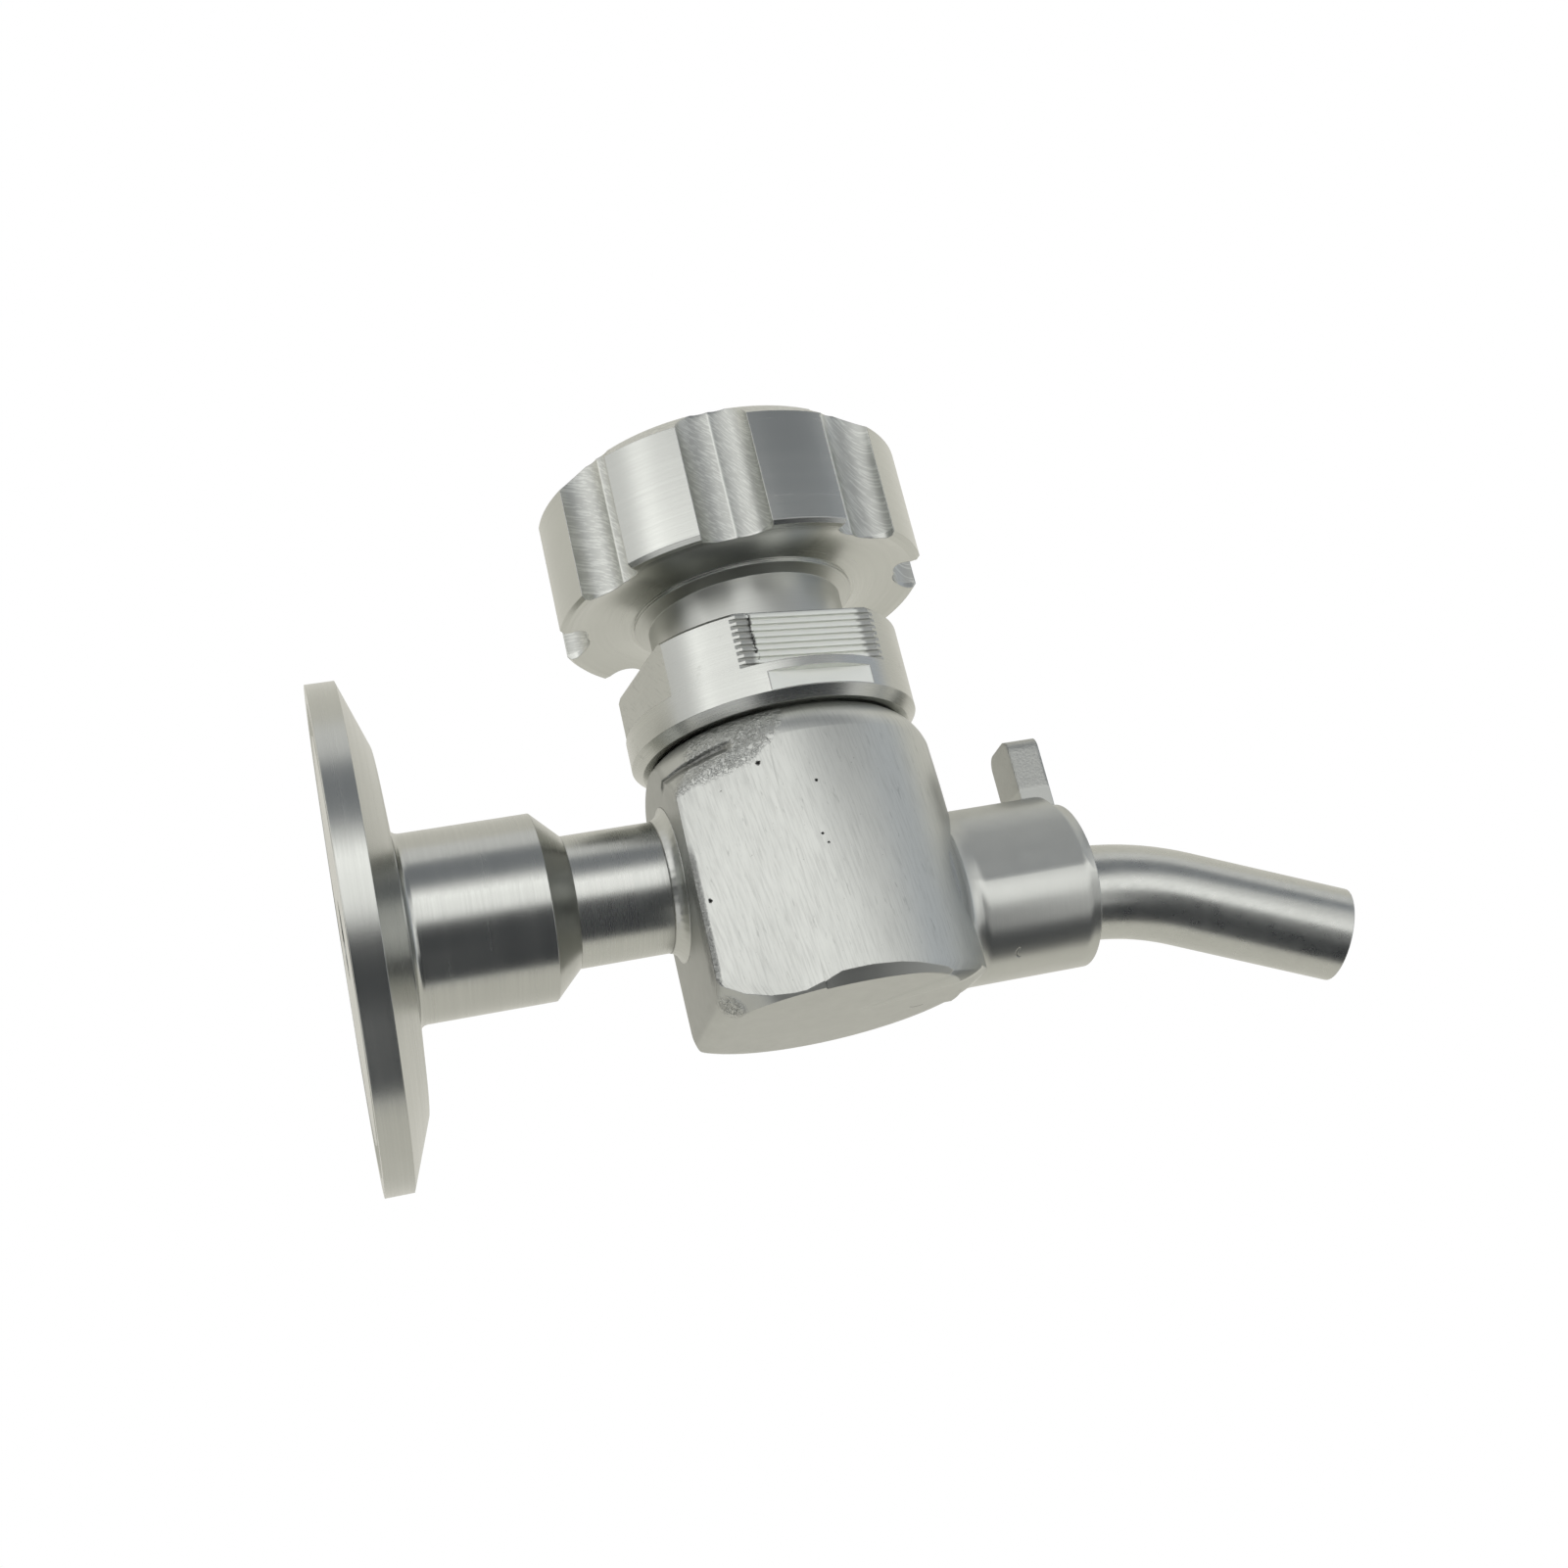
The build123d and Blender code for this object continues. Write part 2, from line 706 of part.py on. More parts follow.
with BuildPart() as stem:
    with BuildSketch(stem_section):
        with BuildLine():
            Polyline(
                (0, button_bottom),
                (button_dia / 2, button_bottom),
                (button_dia / 2, button_top),
                (button_neck_dia / 2, button_top),
                (button_neck_dia / 2, shank_bottom),
                (shank_dia / 2, shank_bottom),
                (shank_dia / 2, thread_bottom),
                (stem_thread_dia / 2, thread_bottom),
                (stem_thread_dia / 2, sleeve_top),
                (shank_dia / 2, sleeve_top),
                (shank_dia / 2, drive_top),
                (0, drive_top),
                close=True,
            )
        make_face()
    revolve(axis=stem_axis)
    drive_width = shank_dia - 2 * drive_flat
    with BuildSketch(stem_level(sleeve_top)):
        Circle(shank_dia)
        Rectangle(drive_width, 2 * shank_dia, mode=Mode.SUBTRACT)
    extrude(amount=drive_top - sleeve_top, mode=Mode.SUBTRACT)
    with BuildSketch(stem_level(drive_top)):
        Circle(knob_screw_dia / 2 + fit_gap)
    extrude(amount=-screw_hole_depth, mode=Mode.SUBTRACT)
finish(stem.part, "stem")

# Plug holder: a cup for the soft disc below and a pocket for the stem's button above
clip_dia = button_dia + 4 * clip_step
pocket_dia = button_dia + 2 * clip_step
disc_screw_hole = disc_screw_dia + 2 * fit_gap

with BuildPart() as plug_holder:
    with BuildSketch(stem_section):
        with BuildLine():
            Polyline(
                (disc_screw_hole / 2, recess_top),
                (disc_dia / 2 + fit_gap, recess_top),
                (disc_dia / 2 + fit_gap, holder_bottom),
                (holder_dia / 2, holder_bottom),
                (holder_dia / 2, holder_top),
                (pocket_dia / 2, holder_top),
                (pocket_dia / 2, clip_top + fit_gap),
                (clip_dia / 2 + fit_gap, clip_top + fit_gap),
                (clip_dia / 2 + fit_gap, clip_bottom - fit_gap),
                (pocket_dia / 2, clip_bottom - fit_gap),
                (pocket_dia / 2, pocket_floor),
                (disc_screw_hole / 2, pocket_floor),
                close=True,
            )
        make_face()
    revolve(axis=stem_axis)
finish(plug_holder.part, "plug_holder")

with BuildPart() as thrust_washer:
    revolve(
        ring_section(
            disc_screw_hole, pocket_dia - 2 * fit_gap, pocket_floor + fit_gap, thrust_top
        ),
        axis=stem_axis,
    )
finish(thrust_washer.part, "thrust_washer")

# Spring clip that holds the button in its pocket, open on one side
with BuildPart() as swivel_clip:
    revolve(
        ring_section(button_neck_dia + 2 * free_gap, clip_dia, clip_bottom, clip_top),
        axis=stem_axis,
    )
    with BuildSketch(stem_level(clip_bottom)):
        with Locations((clip_dia / 2, 0)):
            Rectangle(clip_dia, clip_opening)
    extrude(amount=clip_thickness, mode=Mode.SUBTRACT)
finish(swivel_clip.part, "swivel_clip")

# Seat disc, and the screw and washer that hold it
disc_washer_bottom = seat_level - disc_washer_thickness

with BuildPart() as seat_disc:
    revolve(ring_section(disc_screw_hole, disc_dia, seat_level + fit_gap, recess_top), axis=stem_axis)
finish(seat_disc.part, "seat_disc")

with BuildPart() as disc_washer:
    revolve(
        ring_section(disc_screw_hole, disc_washer_dia, disc_washer_bottom, seat_level),
        axis=stem_axis,
    )
finish(disc_washer.part, "disc_washer")

with BuildPart() as disc_screw:
    revolve(
        ring_section(
            0, disc_screw_head_dia, disc_washer_bottom - disc_screw_head_height, disc_washer_bottom
        ),
        axis=stem_axis,
    )
    revolve(
        ring_section(0, disc_screw_dia, disc_washer_bottom, pocket_floor),
        axis=stem_axis,
    )
finish(disc_screw.part, "disc_screw")

# Knob: fluted grip with a hub that runs down into the nut, over the bonnet's neck
knob_radius = knob_dia / 2

with BuildPart() as knob:
    with BuildSketch(stem_section):
        with BuildLine():
            Polyline(
                (knob_recess_dia / 2, recess_floor),
                (0, recess_floor),
                (0, sleeve_top),
                (sleeve_dia / 2, sleeve_top),
                (sleeve_dia / 2, hub_bottom),
                (hub_dia / 2, hub_bottom),
                (hub_dia / 2, knob_foot - hub_ledge_height),
                (hub_ledge_dia / 2, knob_foot - hub_ledge_land),
                (hub_ledge_dia / 2, knob_foot),
                (knob_radius - knob_foot_chamfer, knob_foot),
                (knob_radius, knob_foot + knob_foot_chamfer),
                (knob_radius, knob_top - knob_top_chamfer * tan(radians(knob_top_slope))),
                (knob_radius - knob_top_chamfer, knob_top),
                (knob_recess_dia / 2, knob_top),
                close=True,
            )
        make_face()
    revolve(axis=stem_axis)
    with BuildSketch(stem_section):
        with BuildLine():
            ThreePointArc(
                (cove_inner_dia / 2, knob_foot),
                ((cove_inner_dia + cove_outer_dia) / 4, knob_foot + cove_depth),
                (cove_outer_dia / 2, knob_foot),
            )
            Line((cove_outer_dia / 2, knob_foot), (cove_inner_dia / 2, knob_foot))
        make_face()
    revolve(axis=stem_axis, mode=Mode.SUBTRACT)
    flute_turns = PolarLocations(knob_radius - flute_inset, flute_count, start_angle=flute_angle)
    with BuildSketch(stem_level(knob_foot)):
        with flute_turns:
            with Locations((0, -flute_step / 2), (0, flute_step / 2)):
                Circle(flute_cutter_dia / 2)
    extrude(amount=knob_height, mode=Mode.SUBTRACT)
    with BuildSketch(stem_level(sleeve_top)):
        Circle(shank_dia / 2 + fit_gap)
        with Locations((shank_dia / 2, 0), (-shank_dia / 2, 0)):
            Rectangle(2 * (drive_flat - fit_gap), shank_dia * 2, mode=Mode.SUBTRACT)
    extrude(amount=recess_floor - sleeve_top, mode=Mode.SUBTRACT)
finish(knob.part, "knob")

# Knob screw with a plain washer and a split lock washer
knob_washer_top = recess_floor + knob_washer_thickness
lock_washer_top = knob_washer_top + lock_washer_thickness
washer_hole = knob_screw_dia + 2 * free_gap

with BuildPart() as knob_washer:
    revolve(
        ring_section(washer_hole, knob_washer_dia, recess_floor, knob_washer_top), axis=stem_axis
    )
finish(knob_washer.part, "knob_washer")

with BuildPart() as lock_washer:
    revolve(
        ring_section(washer_hole, lock_washer_dia, knob_washer_top, lock_washer_top),
        axis=stem_axis,
    )
    with BuildSketch(stem_level(knob_washer_top)):
        with Locations((0, -lock_washer_dia / 2)):
            Rectangle(lock_washer_slit, lock_washer_dia, rotation=lock_washer_turn)
    extrude(amount=lock_washer_thickness, mode=Mode.SUBTRACT)
finish(lock_washer.part, "lock_washer")

with BuildPart() as knob_screw:
    with BuildSketch(stem_section):
        with BuildLine():
            Polyline(
                (0, drive_top - knob_screw_length),
                (knob_screw_dia / 2, drive_top - knob_screw_length),
                (knob_screw_dia / 2, lock_washer_top),
                (knob_screw_head_dia / 2, lock_washer_top),
                (knob_screw_head_dia / 2, lock_washer_top + knob_screw_head_height / 3),
            )
            RadiusArc(
                (knob_screw_head_dia / 2, lock_washer_top + knob_screw_head_height / 3),
                (0, lock_washer_top + knob_screw_head_height),
                -knob_screw_dome,
            )
            Line((0, lock_washer_top + knob_screw_head_height), (0, drive_top - knob_screw_length))
        make_face()
    revolve(axis=stem_axis)
    with BuildSketch(stem_level(lock_washer_top + knob_screw_head_height)):
        RegularPolygon(knob_screw_hex / 2, 6, major_radius=False)
    extrude(amount=-knob_screw_hex_depth, mode=Mode.SUBTRACT)
finish(knob_screw.part, "knob_screw")
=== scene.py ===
from math import pi, radians

import bpy
import numpy as np
from mathutils import Matrix, Vector


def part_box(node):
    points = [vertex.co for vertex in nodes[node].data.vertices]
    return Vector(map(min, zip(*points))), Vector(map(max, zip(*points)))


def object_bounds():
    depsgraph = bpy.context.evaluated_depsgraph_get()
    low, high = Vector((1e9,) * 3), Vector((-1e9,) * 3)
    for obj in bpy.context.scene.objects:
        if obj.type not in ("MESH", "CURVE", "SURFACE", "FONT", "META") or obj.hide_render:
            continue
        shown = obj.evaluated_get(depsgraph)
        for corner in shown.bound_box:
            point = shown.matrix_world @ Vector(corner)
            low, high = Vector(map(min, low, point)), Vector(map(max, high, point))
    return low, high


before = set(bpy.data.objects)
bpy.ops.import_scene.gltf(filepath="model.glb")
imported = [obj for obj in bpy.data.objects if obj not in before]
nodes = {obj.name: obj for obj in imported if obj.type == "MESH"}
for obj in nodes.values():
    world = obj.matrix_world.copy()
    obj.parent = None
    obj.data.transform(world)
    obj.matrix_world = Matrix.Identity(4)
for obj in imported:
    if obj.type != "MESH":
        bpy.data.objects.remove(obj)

# A sanitary sampling valve in satin stainless steel, lying on a pale table.
# X runs with the flow and Z runs up the stem. Blender works in metres, and the finishes in millimetres.

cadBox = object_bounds()
mm = 0.001

# Places on the valve that the finishes follow, worked out from the frame
nutLow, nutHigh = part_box("bonnet_nut")
knobLow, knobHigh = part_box("knob")
stemX = (knobLow.x + knobHigh.x) / 2 / mm
nutFoot, nutTop, knobTop = nutLow.z / mm, nutHigh.z / mm, knobHigh.z / mm
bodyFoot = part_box("valve_body")[0].z / mm
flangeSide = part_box("ferrule")[1].y


class Value:
    # One output socket; an operator between two of them, or with a number, adds its Math node
    def __init__(self, maker, socket):
        self.maker = maker
        self.socket = socket

    def math(self, operation, *others):
        return self.maker.add("ShaderNodeMath", {"operation": operation}, dict(enumerate((self, *others))))

    def __add__(self, other):
        return self.math("ADD", other)

    def __sub__(self, other):
        return self.math("SUBTRACT", other)

    def __mul__(self, other):
        return self.math("MULTIPLY", other)

    def __truediv__(self, other):
        return self.math("DIVIDE", other)

    def __neg__(self):
        return self * -1

    def __rsub__(self, other):
        return -self + other

    __radd__ = __add__
    __rmul__ = __mul__

    def above(self, edge, soft):
        # 0 below the edge and 1 above it, changing smoothly over the soft width
        limits = {"Value": self, "From Min": edge - soft / 2, "From Max": edge + soft / 2}
        return self.maker.add("ShaderNodeMapRange", {"interpolation_type": "SMOOTHSTEP"}, limits)

    def below(self, edge, soft):
        return 1 - self.above(edge, soft)

    def between(self, low, high, soft):
        return self.above(low, soft) * self.below(high, soft)

    def atMostOne(self):
        return self.math("MINIMUM", 1)

    def inDegrees(self):
        return self * (180 / pi)

    def inRadians(self):
        return self * (pi / 180)


class NodeMaker:
    # Adds nodes to the tree of a material or a world
    def __init__(self, owner):
        owner.use_nodes = True
        self.tree = owner.node_tree
        self.tree.nodes.clear()

    def add(self, kind, settings=None, sockets=None, output=0):
        node = self.tree.nodes.new(kind)
        for key, value in (settings or {}).items():
            if key == "stops":
                ramp = node.color_ramp
                while len(ramp.elements) < len(value):
                    ramp.elements.new(1)
                for element, (position, colour) in zip(ramp.elements, value):
                    element.position, element.color = position, (*colour, 1)
            else:
                setattr(node, key, value)
        for key, value in (sockets or {}).items():
            if isinstance(value, Value):
                self.tree.links.new(value.socket, node.inputs[key])
            else:
                node.inputs[key].default_value = value
        return Value(self, node.outputs[output]) if node.outputs else node

    def seenDirectly(self):
        # 1 for what the camera sees, straight or in metal and glass
        rays = ("Is Camera Ray", "Is Glossy Ray", "Is Transmission Ray")
        straight, mirrored, through = (self.add("ShaderNodeLightPath", output=ray) for ray in rays)
        return straight.math("MAXIMUM", mirrored).math("MAXIMUM", through)


class Finish(NodeMaker):
    # A material round one Principled shader, whose constant values come from the settings
    def __init__(self, name, **settings):
        self.material = bpy.data.materials.new(name)
        super().__init__(self.material)
        self.shader = self.tree.nodes.new("ShaderNodeBsdfPrincipled")
        self.out = self.tree.nodes.new("ShaderNodeOutputMaterial")
        self.surface(Value(self, self.shader.outputs[0]))
        for socketName, value in settings.items():
            self.shader.inputs[socketName.replace("_", " ")].default_value = value
        self.place = self.add("ShaderNodeTexCoord", output="Object")

    def surface(self, value):
        self.tree.links.new(value.socket, self.out.inputs["Surface"])
        return self.material

    def axes(self):
        # The three object coordinates as values, in millimetres
        parts = [self.add("ShaderNodeSeparateXYZ", None, {0: self.place}, k) for k in range(3)]
        return [part * 1000 for part in parts]

    def vector(self, x, y, z):
        return self.add("ShaderNodeCombineXYZ", None, {0: x, 1: y, 2: z})

    def noise(self, vector, scale, detail=2.0, roughness=0.5):
        # The scale counts cells per unit of the vector: per metre for the object's place, else per millimetre
        sockets = {"Vector": vector, "Scale": scale, "Detail": detail, "Roughness": roughness}
        return self.add("ShaderNodeTexNoise", None, sockets)

    def mix(self, factor, first, second):
        # Two colours, or links to them, mixed by a value
        return self.add("ShaderNodeMix", {"data_type": "RGBA"}, {"Factor": factor, 6: first, 7: second}, 2)

    def mixVectors(self, factor, first, second):
        return self.add("ShaderNodeMix", {"data_type": "VECTOR"}, {"Factor": factor, 4: first, 5: second}, 1)

    def curve(self, value, shape):
        # A result that follows a list of (value, result) points, joined by straight lines
        low, high = shape["span"]
        size = max(abs(result) for position, result in shape["points"])
        stops = [((position - low) / (high - low), (result / size / 2 + 0.5,) * 3)
                 for position, result in shape["points"]]
        ramp = self.add("ShaderNodeValToRGB", {"stops": stops}, {"Fac": (value - low) / (high - low)})
        return (ramp - 0.5) * (2 * size)

    def leaning(self, x, y, z):
        # A direction given on the object's own axes, turned with the object
        settings = {"vector_type": "NORMAL", "convert_from": "OBJECT", "convert_to": "WORLD"}
        return self.add("ShaderNodeVectorTransform", settings, {"Vector": self.vector(x, y, z)})

    def softEdge(self, radius):
        # Normals that round the solid's sharp edges off, by a radius in millimetres
        return self.add("ShaderNodeBevel", {"samples": 4}, {"Radius": radius * mm})

    def bump(self, height, depth, normal=None):
        # Height is a value from 0 to 1, and depth is the size of that step in millimetres
        sockets = {"Height": height, "Distance": depth * mm, "Strength": 1.0}
        if normal:
            sockets["Normal"] = normal
        return self.add("ShaderNodeBump", None, sockets)

    def feed(self, **links):
        for socketName, value in links.items():
            self.tree.links.new(value.socket, self.shader.inputs[socketName.replace("_", " ")])
        return self.material


def steel(level):
    # Stainless steel's colour at a level, a little warmer than grey
    return (level * 0.985, level, level * 0.945, 1)


def around(x, y):
    # Distance from an axis and the angle about it, in radians, from two coordinates across the axis
    return (x * x + y * y).math("SQRT"), y.math("ARCTAN2", x)


def nearPoint(x, y, z, point):
    # Distance in millimetres from a point: the root of the three differences' squares added up
    dx, dy, dz = x - point[0], y - point[1], z - point[2]
    return (dx * dx + dy * dy + dz * dz).math("SQRT")


# Turned pieces: fine rings about the stem ("z") or about the inlet ("x")
turned = {
    "tone": 0.50,
    "roughness": 0.27,
    "linesPerMm": 7.0,
    "lineStretch": 0.12,  # how slowly a line changes on its way round
    "lineDepth": 0.0035,  # millimetres, as all depths are
    "lineShade": 0.80,  # of the tone, in a line's bottom
    "lineStrength": 0.22,
    "passesPerMm": 0.7,
    "stainsPerMetre": 140.0,
    "edgeRound": 0.10,
}


def turnedRings(finish, radius, angle, height, look):
    # Tone, roughness and fine height of a surface left by a lathe tool
    rings = finish.vector(radius, height, angle * look["lineStretch"])
    lines = finish.noise(rings, look["linesPerMm"], 3.0, 0.7)
    passes = finish.noise(rings, look["passesPerMm"], 1.0)
    stains = finish.noise(finish.place, look["stainsPerMetre"], 3.0)
    tone = finish.mix(stains, steel(look["tone"] * 0.94), steel(look["tone"] * 1.05))
    shade = steel(look["tone"] * look["lineShade"])
    tone = finish.mix(lines.above(0.5, 0.5) * look["lineStrength"], tone, shade)
    rough = look["roughness"] + (lines - 0.5) * 0.10 + (passes - 0.5) * 0.05
    return tone, rough, lines


def turnedSteel(name, along, look=turned):
    finish = Finish(name, Metallic=1.0)
    x, y, z = finish.axes()
    radius, angle = around(x - stemX, y) if along == "z" else around(y, z)
    tone, rough, lines = turnedRings(finish, radius, angle, z if along == "z" else x, look)
    normal = finish.bump(lines, look["lineDepth"], finish.softEdge(look["edgeRound"]))
    return finish.feed(Base_Color=tone, Roughness=rough, Normal=normal)


# Knob: turned like the rest, with slanting mill marks in the flutes
knobLook = {
    **turned,
    "tone": 0.52,
    "roughness": 0.25,
    "linesPerMm": 6.0,
    "lineDepth": 0.003,
    "edgeRound": 0.14,
    "gripHeight": 15.0,
    "flutes": 8,
    "firstFlute": -100.5,  # degrees about the stem, as in the solid
    "fluteFloor": (16.5, 19.82),  # from the stem: the deepest cut, and just inside the grip's side
    "fluteFoot": 0.7,  # above the grip's foot, where the clean part of a flute starts
    "fluteShade": 0.96,
    "fluteRoughness": 0.20,
    "millLinesPerMm": 4.5,
    "millSlant": 1.15,  # how far a mill mark falls across a flute, per millimetre
    "millBow": 0.12,
    "millDepth": 0.014,
    "millGleam": 1.45,  # of the tone, on the marks' crests
    "ridgeWidth": 0.24,  # between a flute's two passes
    # painted highlight: the ridge drawn much lighter than the steel
    "ridgeHighlightTone": 0.85,
    "footRoughness": 0.10,  # more below the flutes
}


def knobSteel(name, look):
    finish = Finish(name, Metallic=1.0)
    x, y, z = finish.axes()
    radius, angle = around(x - stemX, y)
    tone, rough, lines = turnedRings(finish, radius, angle, z, look)

    # Which flute a place belongs to, and how far it lies from that flute's middle
    pitch = 360 / look["flutes"]
    turn = angle.inDegrees() - look["firstFlute"] + pitch / 2
    which = (turn / pitch).math("FLOOR")
    across = ((turn.math("FLOORED_MODULO", pitch) - pitch / 2) * radius).inRadians()
    deepest, edge = look["fluteFloor"]
    low, high = knobTop - look["gripHeight"] + look["fluteFoot"], knobTop - 0.2
    inFlute = radius.below(edge, 0.1) * radius.above(deepest, 0.2) * z.between(low, high, 0.3)

    slanted = z + across * look["millSlant"] + across * across * look["millBow"]
    spread = finish.vector(slanted, which * 3.7, across * 0.25)
    marks = finish.noise(spread, look["millLinesPerMm"], 2.0, 0.6)
    ridge = across.math("ABSOLUTE").below(look["ridgeWidth"] / 2, look["ridgeWidth"])

    tone = finish.mix(inFlute, tone, steel(look["tone"] * look["fluteShade"]))
    tone = finish.mix(inFlute * marks.above(0.54, 0.12) * 0.55, tone, steel(look["tone"] * look["millGleam"]))
    # The ridge between a flute's two passes gets a painted highlight
    tone = finish.mix(inFlute * ridge * 0.6, tone, steel(look["ridgeHighlightTone"]))
    rough = rough + inFlute * (look["fluteRoughness"] + (marks - 0.5) * 0.25)
    rough = rough + z.below(low - 0.9, 0.5) * look["footRoughness"]
    normal = finish.bump(lines, look["lineDepth"], finish.softEdge(look["edgeRound"]))
    normal = finish.bump(marks * inFlute, look["millDepth"], normal)
    return finish.feed(Base_Color=tone, Roughness=rough, Normal=normal)


# Union nut: a turned ring whose four flats carry slanting file marks, the front one under its grooves
nutLook = {
    **turned,
    "tone": 0.49,
    "roughness": 0.26,
    "lineDepth": 0.003,
    "sideRadius": 15.26,  # the flats lie inside it
    "flatFoot": 1.1,  # above the nut's foot
    "flatTurn": -79.0,  # degrees, the way the grooved flat faces
    "flatWidthPerDegree": 0.24,
    "flatRoughness": 0.08,
    "scratchesPerMm": 3.5,
    "scratchDepth": 0.006,
    "scratchShade": 0.7,
    "groovedSpan": (-104, -54),  # degrees about the stem
    # painted sheen: the grooved flat drawn lighter than the steel
    "groovedSheenTone": 1.75,
    "groovedRoughness": 0.22,
    "burrsBeyond": -4.5,  # across the grooved flat, from its middle
    "burrTone": 0.08,
    "grimePerMetre": 420.0,
    "grimeShade": 0.72,
}


def nutSteel(name, look):
    finish = Finish(name, Metallic=1.0)
    x, y, z = finish.axes()
    radius, angle = around(x - stemX, y)
    tone, rough, lines = turnedRings(finish, radius, angle, z, look)
    degrees = angle.inDegrees()
    across = (degrees - look["flatTurn"] + 45).math("FLOORED_MODULO", 90) - 45
    across = across * look["flatWidthPerDegree"]
    onFlat = radius.below(look["sideRadius"], 0.04) * z.between(nutFoot + look["flatFoot"], nutTop - 0.1, 0.2)
    grooved = onFlat * degrees.between(*look["groovedSpan"], 2)

    slanted = finish.vector(across + z, (across - z) * 0.09, radius * 0.1)
    scratches = finish.noise(slanted, look["scratchesPerMm"], 3.0, 0.65)
    grime = finish.noise(finish.place, look["grimePerMetre"], 4.0, 0.7)
    burrs = grooved * (across + grime * 2).below(look["burrsBeyond"], 0.2) * grime.above(0.52, 0.06)

    shade = steel(look["tone"] * look["scratchShade"])
    tone = finish.mix(onFlat * scratches.above(0.6, 0.15) * 0.45, tone, shade)
    tone = finish.mix(grime.above(0.66, 0.1) * 0.4, tone, steel(look["tone"] * look["grimeShade"]))
    # The grooved flat's lighter tone is painted sheen
    tone = finish.mix(grooved, tone, steel(look["tone"] * look["groovedSheenTone"]))
    tone = finish.mix(burrs, tone, steel(look["burrTone"]))
    rough = rough + onFlat * look["flatRoughness"] + grooved * look["groovedRoughness"]
    normal = finish.bump(lines, look["lineDepth"], finish.softEdge(look["edgeRound"]))
    normal = finish.bump(scratches * onFlat, look["scratchDepth"], normal)
    return finish.feed(Base_Color=tone, Roughness=rough, Normal=normal)


# Spout: drawn and bent tube with soft long grain, and a little orange peel from the polishing
spoutLook = {
    "tone": 0.49,
    "roughness": 0.29,
    "grainPerMm": 3.84,
    "grainStretch": 0.25,
    "grainDepth": 0.0018,
    "grainShade": 0.82,
    "peelPerMetre": 700.0,
    "stainsPerMetre": 120.0,
    "edgeRound": 0.12,
}


def drawnSteel(name, look):
    finish = Finish(name, Metallic=1.0)
    x, y, z = finish.axes()
    grain = finish.noise(finish.vector(x * look["grainStretch"], y, z), look["grainPerMm"], 3.0, 0.6)
    peel = finish.noise(finish.place, look["peelPerMetre"], 2.0)
    stains = finish.noise(finish.place, look["stainsPerMetre"], 3.0)
    tone = finish.mix(stains, steel(look["tone"] * 0.93), steel(look["tone"] * 1.06))
    tone = finish.mix(grain.above(0.58, 0.2) * 0.25, tone, steel(look["tone"] * look["grainShade"]))
    rough = look["roughness"] + (peel - 0.5) * 0.12 + (grain - 0.5) * 0.08
    normal = finish.bump(peel, look["grainDepth"], finish.softEdge(look["edgeRound"]))
    normal = finish.bump(grain, look["grainDepth"], normal)
    return finish.feed(Base_Color=tone, Roughness=rough, Normal=normal)


# Weld bead: soft ripples round the tube, brushed over
weldLook = {
    "tone": 0.50,
    "roughness": 0.33,
    "ripples": 46,
    "rippleLean": 1.5,
    "rippleWander": 5,
    "rippleDepth": 0.018,
    "wanderPerMetre": 500.0,
    "specksPerMetre": 2500.0,
    "edgeRound": 0.15,
}


def weldSteel(name, look):
    finish = Finish(name, Metallic=1.0)
    x, y, z = finish.axes()
    radius, angle = around(y, z)
    wander = finish.noise(finish.place, look["wanderPerMetre"], 2.0)
    wave = angle * look["ripples"] + radius * look["rippleLean"] + wander * look["rippleWander"]
    ripples = wave.math("SINE") * 0.5 + 0.5
    specks = finish.noise(finish.place, look["specksPerMetre"], 3.0, 0.7)
    tone = finish.mix(specks, steel(look["tone"] * 0.85), steel(look["tone"] * 1.1))
    rough = look["roughness"] + (specks - 0.5) * 0.15
    height = ripples * 0.6 + specks * 0.4
    normal = finish.bump(height, look["rippleDepth"], finish.softEdge(look["edgeRound"]))
    return finish.feed(Base_Color=tone, Roughness=rough, Normal=normal)


